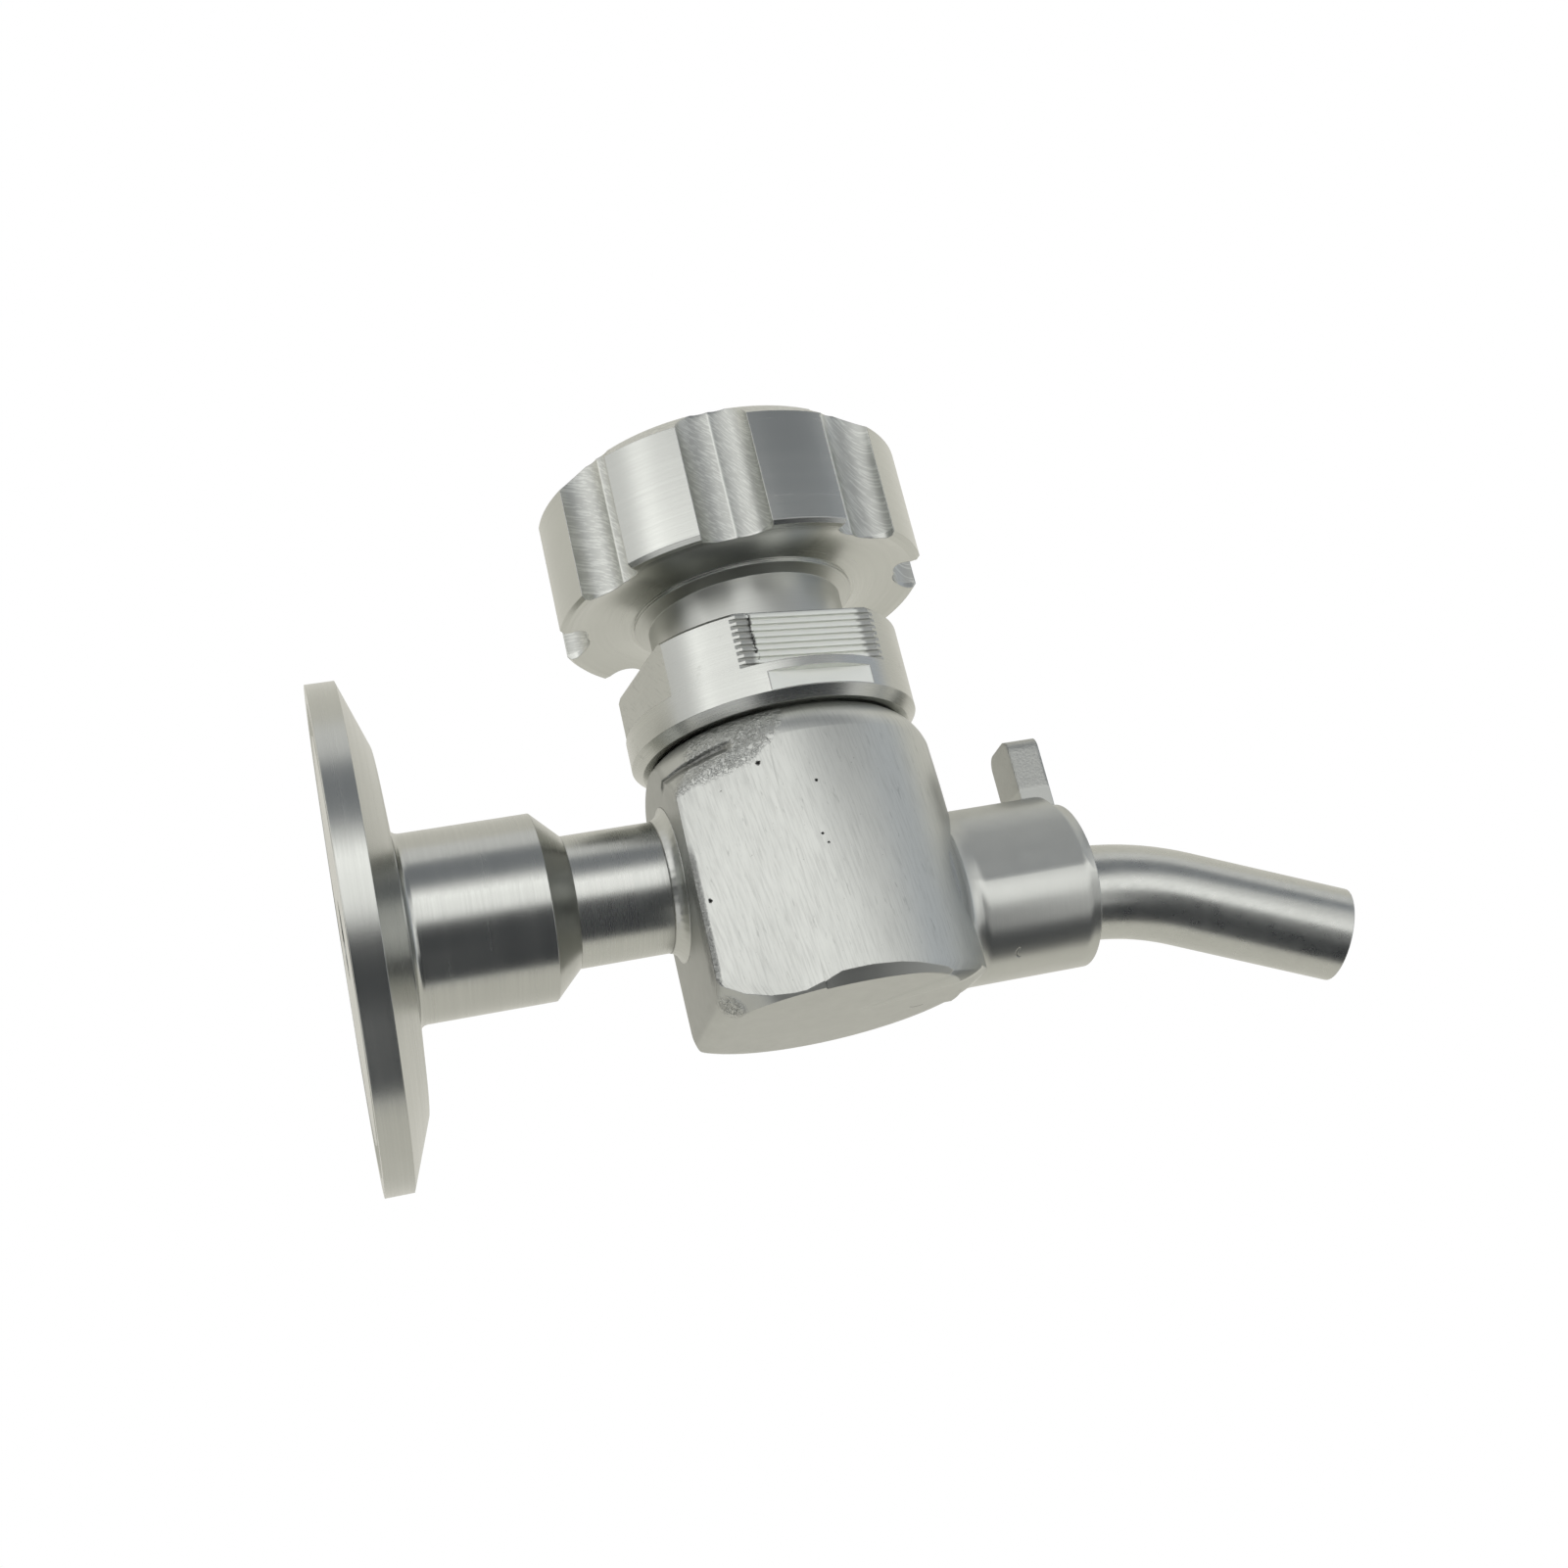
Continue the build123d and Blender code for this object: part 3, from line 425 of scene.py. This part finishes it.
# Body: an investment casting with a belt-ground front, a turned boss, and cast skin elsewhere.
# Angles are in degrees about the stem, except up the boss's side. Tones are shares of the main tone.
bodyLook = {
    "tone": 0.50,
    "groundRoughness": 0.40,
    "castRoughness": 0.46,
    "turnedRoughness": 0.31,
    "edgeRound": 0.16,

    # The ground front
    "frontSpan": (-140, -28),
    "frontEnd": 13.6,  # from the stem towards the spout
    "frontTurn": -106.7,  # the way its flat part faces
    "frontLean": 0.0043,  # how the rest leans back, for each millimetre up from the lean's middle
    "leanMiddle": -2.8,
    "insideSpan": (-139, -31),  # a little inside the front, where it is one smooth surface
    "insideTop": 9.4,
    "topEdge": {  # height at each angle
        "span": (-145, -85),
        "points": [
            (-145, 3), (-140, 5.2), (-133, 6.5), (-126, 6.6), (-114, 7.3), (-106, 9), (-101, 10.5), (-97, 13),
        ],
    },
    "footEdge": {
        "span": (-145, -35),
        "points": [
            (-145, -13), (-139.7, -13.9), (-133.8, -15.2), (-126, -16.0), (-118, -16.35), (-113.5, -16.4),
            (-107.7, -16.1), (-99.9, -15.4), (-89, -15.35), (-78, -15.5), (-65, -15.95), (-56, -16.2),
            (-50, -16.6),
        ],
    },
    "frontTone": 1.06,
    "barrelRadius": 15.8,
    "brushPerMm": 5.0,
    "brushLean": 0.11,  # sideways, for each millimetre up
    "brushStretch": 0.055,
    "brushDepth": 0.010,
    "brushTone": 0.78,
    "scoresPerMm": 2.2,
    "scoreLean": 0.13,
    "scoreStretch": 0.16,
    "scoreTone": 0.60,
    "wavesPerMm": 0.22,

    # The bevel under the front: it leans down, and its tone is darkened as painted shade
    "underSpan": (-127, -47),
    "underLean": -0.62,
    "underShadeTone": 0.6,

    # The boss and its lug
    "bossHeight": -6.6,
    "bossStart": 13.4,  # from the stem
    "bossRadius": 10.4,
    "bossTurnedTo": -5,  # up its side, above which it is cast skin
    "bossSide": (15.2, 26.4),  # from the stem, clear of the flare and of the boss's end
    "bossSideSpan": (-80, 52),
    "dressing": {  # how far the side leans from a true round, at each angle up it
        "span": (-90, 90),
        "points": [(-90, 0), (-62, 7), (-7, 8), (-3.5, 19), (10, 9), (27, -4), (40, -8), (60, 0)],
    },
    "ringsPerMm": 5.0,
    "ringDepth": 0.004,
    "lugSpan": (19, 30),  # from the stem
    "lugFoot": 3.3,
    "lugRound": 0.55,
    "lugTone": 0.84,
    "lugGrainTone": 0.70,

    # Cast skin, and coarser spatter under the nut on the left
    "grainPerMetre": 3200.0,
    "grainDepth": 0.045,
    "skinPerMetre": 900.0,
    "skinDepth": 0.010,
    "mottlePerMetre": 230.0,
    "spatterSpan": (-141, -98),
    "spatterTop": 12.4,
    "spatterPerMetre": 1500.0,
    "wormsPerMetre": 1150.0,
    "spatterDepth": 0.16,
    "spatterTone": 1.08,
    # painted shadow between the spatter's ridges
    "spatterShadow": 0.55,

    # The side next to the inlet, darkened as painted shade, with the burr along its edge
    "leftEnd": 33.3,
    "leftShadeTone": 0.72,
    "burrEnd": 33.5,
    "burrSide": -9.6,
    "burrHeights": (-13.5, -0.5),
    "burrTone": 0.38,

    # Fold in the casting along the top of the front; its dark line is painted shade
    "foldSpan": (-156, -122),
    "foldHeight": 9.3,
    "foldFall": 0.03,  # per degree
    "foldWidth": 0.42,
    # painted shade in the fold and the dents, and the specks' own dark
    "shadeAndSpeckTone": 0.40,
    "markDepth": 0.8,

    "nicks": ((34.4, -9.4, -15.6), 1.5),  # place in millimetres, and radius
    "pits": {
        "upperPit": ((41.1, -14.75, 6.5), 0.24),
        "middlePit": ((46.2, -15.75, 3.5), 0.17),
        "leftPit": ((34.0, -12.6, -5.8), 0.19),
        "lowSpeck": ((45.5, -15.75, -1.9), 0.16),
        "lowestSpeck": ((45.9, -15.75, -2.9), 0.14),
        "innerSpeck": ((37.2, -13.5, 4.6), 0.09),
    },
    # painted shade: the pits drawn near black
    "pitShadeTone": 0.03,
    "dents": {  # place, radius, and the angles that the dent's arc covers; the arc is drawn dark as painted shade
        "bottomDent": ((55.3, 0.6, -16.6), 0.75, 20, 150),
        "bossDent": ((65.9, -4.9, -14.4), 0.70, 110, 230),
    },
}


def largest(values):
    # The largest of several values, each from 0 to 1
    result = None
    for value in values:
        result = value if result is None else result.math("MAXIMUM", value)
    return result


def pitMarks(x, y, z, grain, pits):
    for point, size in pits.values():
        yield (nearPoint(x, y, z, point) + (grain - 0.5) * size * 2).below(size * 0.75, size * 0.6)


def dentArcs(x, y, z, dents):
    for centre, size, start, end in dents.values():
        onRing = (nearPoint(x, y, z, centre) - size).math("ABSOLUTE").below(0.09, 0.12)
        turn = (y - centre[1]).math("ARCTAN2", x - centre[0]).inDegrees()
        yield onRing * turn.math("FLOORED_MODULO", 360).between(start, end, 14)


def bodySteel(name, look):
    finish = Finish(name, Metallic=1.0)
    x, y, z = finish.axes()
    fromStem = x - stemX
    angle = y.math("ARCTAN2", fromStem)
    degrees = angle.inDegrees()
    bossRadius, bossAngle = around(y, z - look["bossHeight"])
    bossRise = (z - look["bossHeight"]).math("ARCTAN2", -y).inDegrees()
    ragged = finish.noise(finish.place, 380.0, 3.0, 0.6) - 0.5

    # Where each way of finishing reaches
    topEdge = finish.curve(degrees, look["topEdge"])
    footEdge = finish.curve(degrees, look["footEdge"])
    onFront = degrees.between(*look["frontSpan"], 1.5) * fromStem.below(look["frontEnd"], 0.3)
    onFront = onFront * y.below(-2, 1)
    ground = onFront * z.above(footEdge, 0.12) * (z - topEdge + ragged * 1.6).below(0.0, 0.6)
    under = onFront * z.below(footEdge, 0.12) * degrees.between(*look["underSpan"], 8)
    under = under * z.above(bodyFoot + 0.02, 0.04)
    onLug = fromStem.between(*look["lugSpan"], 0.2) * z.above(look["lugFoot"], 0.5)
    onBoss = fromStem.above(look["bossStart"], 0.6) * bossRadius.below(look["bossRadius"], 0.2)
    bossTop = onBoss * bossRise.above(look["bossTurnedTo"], 3)
    onBoss = onBoss * (1 - onLug) * (1 - bossTop)
    cast = (1 - ground) * (1 - onBoss)
    shadedLeftSide = x.below(look["leftEnd"], 0.3)
    burr = x.below(look["burrEnd"], 0.3) * (y + ragged * 3).below(look["burrSide"], 2.0)
    burr = burr * z.between(*look["burrHeights"], 2.5)
    nickPlace, nickSize = look["nicks"]
    nicks = nearPoint(x, y, z, nickPlace).below(nickSize, 1.2)

    # Belt marks run up the front, a little aslant, with deeper scores and slow waves among them
    along = angle * look["barrelRadius"]
    brushed = finish.vector(along + z * look["brushLean"], z * look["brushStretch"], 0.0)
    brush = finish.noise(brushed, look["brushPerMm"], 3.0, 0.7)
    scored = finish.vector(along + z * look["scoreLean"], z * look["scoreStretch"], 4.0)
    scores = finish.noise(scored, look["scoresPerMm"], 3.0, 0.75)
    waves = finish.noise(finish.vector(along, z * 0.3, 9.0), look["wavesPerMm"], 2.0)

    # Cast skin, and the spatter with its worm-like ridges
    grain = finish.noise(finish.place, look["grainPerMetre"], 3.0, 0.6)
    skin = finish.noise(finish.place, look["skinPerMetre"], 3.0, 0.6)
    mottle = finish.noise(finish.place, look["mottlePerMetre"], 4.0, 0.65)
    blobs = finish.noise(finish.place, look["spatterPerMetre"], 4.0, 0.65).above(0.52, 0.1)
    worms = finish.noise(finish.place, look["wormsPerMetre"], 2.0, 0.55) - 0.5
    worms = worms.math("ABSOLUTE").below(0.035, 0.05)
    spatter = (blobs * 0.5 + worms * 0.5).atMostOne()
    onSpatter = degrees.between(*look["spatterSpan"], 5) * (z - topEdge - ragged * 1.5).above(-0.4, 1.4)
    onSpatter = onSpatter * z.below(look["spatterTop"], 0.3)
    onSpatter = (onSpatter * (0.75 + ragged * 1.5) + nicks).atMostOne()

    # Single marks: the fold, the pits, the dents, and specks in the ground front. The fold's line, the dents'
    # arcs and the pits are darkened as painted shade; the specks are the metal's own.
    beyond = (look["foldSpan"][1] - degrees).math("MAXIMUM", -4)
    foldMiddle = look["foldHeight"] - beyond * look["foldFall"]
    fold = (z - foldMiddle + ragged * 0.5).math("ABSOLUTE").below(look["foldWidth"], 0.6)
    fold = fold * degrees.between(*look["foldSpan"], 6)
    pits = largest(pitMarks(x, y, z, grain, look["pits"]))
    dents = largest(dentArcs(x, y, z, look["dents"]))
    specks = finish.noise(finish.place, 2600.0, 2.0, 0.8).above(0.74, 0.05) * ground * 0.6
    marks = (fold * 0.85 + dents * 0.8 + specks).atMostOne()

    # Each step darkens or lightens the tone by a mask: the mask, and its share of the main tone
    tone = finish.mix(mottle, steel(look["tone"] * 0.90), steel(look["tone"] * 1.06))
    steps = [
        (ground, look["frontTone"]),
        # painted shade on the side next to the inlet
        (shadedLeftSide * 0.6, look["leftShadeTone"]),
        (ground * brush.above(0.55, 0.25) * 0.40, look["brushTone"]),
        (ground * scores.above(0.66, 0.08) * 0.45, look["scoreTone"]),
        (onLug * grain.above(0.5, 0.3) * 0.5, look["lugGrainTone"]),
        (onSpatter, look["spatterTone"]),
        # painted shadow in the hollows between the spatter's blobs and ridges
        (onSpatter * (1 - spatter).above(0.55, 0.4) * 0.6, look["spatterShadow"]),
        # painted shade under the front
        (under * 0.8, look["underShadeTone"]),
        (burr * grain.above(0.35, 0.3) * 0.75, look["burrTone"]),
        (onLug, look["lugTone"]),
        # painted shade in the fold and the dents, with the front's specks
        (marks, look["shadeAndSpeckTone"]),
    ]
    for mask, share in steps:
        tone = finish.mix(mask, tone, steel(look["tone"] * share))
    # painted shade in the pits
    tone = finish.mix(pits, tone, steel(look["pitShadeTone"]))

    rough = ground * look["groundRoughness"] + cast * look["castRoughness"] + onBoss * look["turnedRoughness"]
    rough = rough + ground * ((brush - 0.5) * 0.16 + (waves - 0.5) * 0.14)
    rough = rough + cast * (skin - 0.5) * 0.12 + pits * 0.3

    # The belt rounded the front into one surface, and the boss was dressed by hand above its middle
    turn = degrees.math("SMOOTH_MAX", look["frontTurn"], 3.0).inRadians()
    outX, outY = turn.math("COSINE"), turn.math("SINE")
    lean = (z - look["leanMiddle"]) * look["frontLean"] * degrees.above(-98, 16)
    dressed = (bossRise + finish.curve(bossRise, look["dressing"])).inRadians()
    bossSide = finish.leaning(0.0, -dressed.math("COSINE"), dressed.math("SINE"))
    inside = degrees.between(*look["insideSpan"], 2) * z.below(look["insideTop"], 4.4)
    smooth = inside * (ground + onSpatter * 0.75).atMostOne()
    onSide = fromStem.between(*look["bossSide"], 0.9) * bossRise.between(*look["bossSideSpan"], 10)
    onSide = onSide * bossRadius.below(look["bossRadius"] - 0.1, 0.2)

    normal = finish.mixVectors(onLug, finish.softEdge(look["edgeRound"]), finish.softEdge(look["lugRound"]))
    normal = finish.mixVectors(smooth, normal, finish.leaning(outX, outY, lean))
    normal = finish.mixVectors(under, normal, finish.leaning(outX, outY, look["underLean"]))
    normal = finish.mixVectors(onSide, normal, bossSide)

    # Fine heights, and the depth of each
    rings = finish.vector(x, bossRadius * 0.4, bossAngle * 0.15)
    reliefs = [
        (ground * (brush * 0.7 + scores * 0.5), look["brushDepth"]),
        (grain * (onLug + onSpatter * 0.3).atMostOne(), look["grainDepth"]),
        (skin * cast, look["skinDepth"]),
        (spatter * onSpatter, look["spatterDepth"]),
        (burr * grain, look["spatterDepth"]),
        (finish.noise(rings, look["ringsPerMm"], 3.0, 0.7) * onBoss, look["ringDepth"]),
        (1 - (fold + pits * 0.4 + dents * 0.2).atMostOne(), look["markDepth"]),
    ]
    for height, depth in reliefs:
        normal = finish.bump(height, depth, normal)
    return finish.feed(Base_Color=tone, Roughness=rough, Normal=normal)


# Small and hidden pieces
fastenerLook = {
    "tone": 0.46,
    "roughness": 0.26,
    "dingsPerMetre": 1800.0,
    "dingDepth": 0.012,
    "stainsPerMetre": 350.0,
    "edgeRound": 0.08,
}


def fastenerSteel(name, look):
    # Rolled or pressed stainless, lightly tumbled
    finish = Finish(name, Metallic=1.0)
    dings = finish.noise(finish.place, look["dingsPerMetre"], 3.0, 0.7)
    stains = finish.noise(finish.place, look["stainsPerMetre"], 3.0)
    tone = finish.mix(stains, steel(look["tone"] * 0.9), steel(look["tone"] * 1.08))
    normal = finish.bump(dings, look["dingDepth"], finish.softEdge(look["edgeRound"]))
    return finish.feed(Base_Color=tone, Roughness=look["roughness"] + (dings - 0.5) * 0.2, Normal=normal)


softLooks = {  # each has its dark tone, its light tone, its roughness and its grain's depth
    "blackRubber": ((0.022, 0.022, 0.024), (0.04, 0.04, 0.042), 0.5, 0.01),
    "whiteRubber": ((0.66, 0.64, 0.59), (0.74, 0.72, 0.68), 0.55, 0.01),
    "whitePlastic": ((0.76, 0.76, 0.73), (0.84, 0.84, 0.82), 0.42, 0.006),
}


def moulded(name, looks):
    # Rubber or plastic with a faint moulded grain and a bloom
    dark, light, roughness, grainDepth = looks[name]
    finish = Finish(name, Metallic=0.0)
    bloom = finish.noise(finish.place, 500.0, 4.0, 0.6)
    grain = finish.noise(finish.place, 5200.0, 2.0)
    tone = finish.mix(bloom, (*dark, 1), (*light, 1))
    rough = roughness + (grain - 0.5) * 0.15
    return finish.feed(Base_Color=tone, Roughness=rough, Normal=finish.bump(grain, grainDepth))


def dress(names, material):
    for name in names:
        nodes[name].data.materials.clear()
        nodes[name].data.materials.append(material)


ferruleLook = {**turned, "tone": 0.48, "roughness": 0.25, "linesPerMm": 5.0}
tubeLook = {**turned, "tone": 0.51, "roughness": 0.28}
dress(["ferrule"], turnedSteel("turnedFerrule", "x", ferruleLook))
dress(["inlet_tube"], turnedSteel("brushedTube", "x", tubeLook))
dress(["inlet_weld"], weldSteel("weldBead", weldLook))
dress(["valve_body"], bodySteel("groundCasting", bodyLook))
dress(["outlet_spout"], drawnSteel("drawnTube", spoutLook))
dress(["bonnet", "stem", "plug_holder"], turnedSteel("turnedStem", "z"))
dress(["bonnet_nut"], nutSteel("nutSteel", nutLook))
dress(["knob"], knobSteel("knobSteel", knobLook))
pressed = ["anti_turn_pin", "swivel_clip", "disc_washer", "disc_screw"]
dress(pressed, fastenerSteel("pressedSteel", fastenerLook))
knobFasteners = ["knob_washer", "lock_washer", "knob_screw"]
dress(knobFasteners, fastenerSteel("fastenerSteel", {**fastenerLook, "tone": 0.5}))
seals = ["stem_o_ring_lower", "stem_o_ring_upper", "bonnet_o_ring", "hub_o_ring"]
dress(seals, moulded("blackRubber", softLooks))
dress(["seat_disc"], moulded("whiteRubber", softLooks))
dress(["guide_bush", "slip_washer", "thrust_washer"], moulded("whitePlastic", softLooks))
print("finishes made")


camera = {
    "place": (-3.01, -194.22, -56.68),  # millimetres
    "right": (0.9598, -0.1720, -0.2220),
    "up": (0.1508, -0.3509, 0.9242),
    "lens": 46.23,
    "sensor": 36.0,
    "clip": (0.01, 20.0),
}


def addCamera(settings):
    right = Vector(settings["right"]).normalized()
    up = Vector(settings["up"])
    up = (up - right * up.dot(right)).normalized()
    turn = Matrix((right, up, right.cross(up))).transposed()
    data = bpy.data.cameras.new("camera")
    data.lens, data.sensor_width = settings["lens"], settings["sensor"]
    data.clip_start, data.clip_end = settings["clip"]
    view = bpy.data.objects.new("camera", data)
    view.matrix_world = Matrix.Translation(Vector(settings["place"]) * mm) @ turn.to_4x4()
    bpy.context.scene.collection.objects.link(view)
    bpy.context.scene.camera = view
    return view


view = addCamera(camera)
print("camera placed")


# Table, light and background. Directions are seen from the valve: across and up, in degrees from the line
# to the camera. Distances are in metres.
studio = {
    "tableGap": 0.05,  # millimetres under the flange
    "tableSize": 1.6,
    "tableTone": (0.88, 0.86, 0.79),
    "tableRoughness": 0.9,
    "roomTone": (0.95, 0.97, 1.0),
    "roomStrength": 0.7,
    "lamps": {
        "mainSoftbox": {"across": -8, "up": 27, "distance": 0.5, "size": (0.98, 0.27), "radiance": 0.62},
        "leftStrip": {"across": -57, "up": 24, "distance": 0.47, "size": (0.09, 0.25), "radiance": 0.5},
        "highStrip": {"across": 3, "up": 36, "distance": 0.47, "size": (0.22, 0.07), "radiance": 0.4},
        "rightSoftbox": {"across": 50, "up": 4, "distance": 0.5, "size": (0.22, 0.16), "radiance": 0.45},
    },
    "cardDistance": 0.42,
    "cardColour": (0.94, 1, 1.10),
    "cardGrid": (13, 9),  # points across and up
    "cards": {  # each has its range across, its range up, and its tone
        "frontCard": ((-52, 38), (-27, 6), 0.07),
        "leftCard": ((-88, -50), (-46, -6), 0.22),
        "lowerCard": ((6, 74), (-66, -22), 0.06),
        "footCard": ((-80, 6), (-80, -56), 0.45),
        "ceilingCard": ((-55, 92), (48, 82), 0.27),
        "sideCard": ((24, 92), (42, 50), 0.30),
        "rightCard": ((70, 128), (-20, 42), 0.66),
    },
}
middle = (cadBox[0] + cadBox[1]) / 2
viewTurn = view.matrix_world.to_3x3()


def direction(across, up):
    # Unit vectors from the valve: the sines and cosines of both angles, in the camera's own axes
    across, up = np.radians(across), np.radians(up)
    local = np.stack([np.sin(across) * np.cos(up), np.sin(up), np.cos(across) * np.cos(up)], -1)
    return local @ np.array(viewTurn).T


def addMesh(name, points, faces, material):
    mesh = bpy.data.meshes.new(name)
    mesh.from_pydata(points, [], faces)
    mesh.materials.append(material)
    made = bpy.data.objects.new(name, mesh)
    bpy.context.scene.collection.objects.link(made)
    return made


def addLamps(lamps):
    for name, lamp in lamps.items():
        width, height = lamp["size"]
        data = bpy.data.lights.new(name, "AREA")
        data.shape, data.size, data.size_y = "RECTANGLE", width, height
        data.energy = lamp["radiance"] * pi * width * height
        light = bpy.data.objects.new(name, data)
        away = Vector(direction(lamp["across"], lamp["up"]))
        across = Matrix.Rotation(radians(lamp["across"]), 3, "Y")
        up = Matrix.Rotation(radians(-lamp["up"]), 3, "X")
        turn = viewTurn @ across @ up
        light.matrix_world = Matrix.Translation(middle + away * lamp["distance"]) @ turn.to_4x4()
        bpy.context.scene.collection.objects.link(light)
        light.visible_camera = False


def glowing(name, tone):
    finish = Finish(name)
    return finish.surface(finish.add("ShaderNodeEmission", None, {"Color": (*tone, 1)}))


def addCards(settings):
    # Each card is a patch of a sphere round the valve, which only reflections see
    columns, rows = settings["cardGrid"]
    corner = (np.arange(rows - 1)[:, None] * columns + np.arange(columns - 1)).reshape(-1, 1)
    faces = (corner + (0, columns, columns + 1, 1)).tolist()
    for name, (acrossRange, upRange, tone) in settings["cards"].items():
        across, up = np.meshgrid(np.linspace(*acrossRange, columns), np.linspace(*upRange, rows))
        points = np.array(middle) + direction(across, up).reshape(-1, 3) * settings["cardDistance"]
        material = glowing(name, [tone * part for part in settings["cardColour"]])
        card = addMesh(name, points, faces, material)
        card.visible_camera = card.visible_diffuse = card.visible_shadow = False


def addTable(settings):
    # The table behind the valve: white to the camera, pale in reflections, and see-through from its back
    size = settings["tableSize"]
    level = flangeSide + settings["tableGap"] * mm
    corners = [(-size, level, -size), (size, level, -size), (size, level, size), (-size, level, size)]
    finish = Finish("tableTop", Roughness=settings["tableRoughness"])
    toCamera = finish.add("ShaderNodeLightPath", output="Is Camera Ray")
    tone = finish.mix(toCamera, (*settings["tableTone"], 1), (1, 1, 1, 1))
    glow = finish.add("ShaderNodeEmission", None, {"Color": tone})
    plain = Value(finish, finish.shader.outputs[0])
    lit = finish.add("ShaderNodeMixShader", None, {0: finish.seenDirectly(), 1: plain, 2: glow})
    clear = finish.add("ShaderNodeBsdfTransparent")
    back = finish.add("ShaderNodeNewGeometry", output="Backfacing")
    both = finish.add("ShaderNodeMixShader", None, {0: back, 1: lit, 2: clear})
    table = addMesh("table", corners, [(0, 1, 2, 3)], finish.surface(both))


def addRoom(settings):
    # White where it is seen, and a softer tone where it lights the valve
    world = bpy.data.worlds.new("paleRoom")
    room = NodeMaker(world)
    white = room.add("ShaderNodeBackground", None, {"Color": (1, 1, 1, 1)})
    sockets = {"Color": (*settings["roomTone"], 1), "Strength": settings["roomStrength"]}
    soft = room.add("ShaderNodeBackground", None, sockets)
    both = room.add("ShaderNodeMixShader", None, {0: room.seenDirectly(), 1: soft, 2: white})
    room.add("ShaderNodeOutputWorld", None, {"Surface": both})
    bpy.context.scene.world = world


addLamps(studio["lamps"])
addCards(studio)
addTable(studio)
addRoom(studio)
bpy.context.scene.view_settings.view_transform = "Standard"
print("studio made")
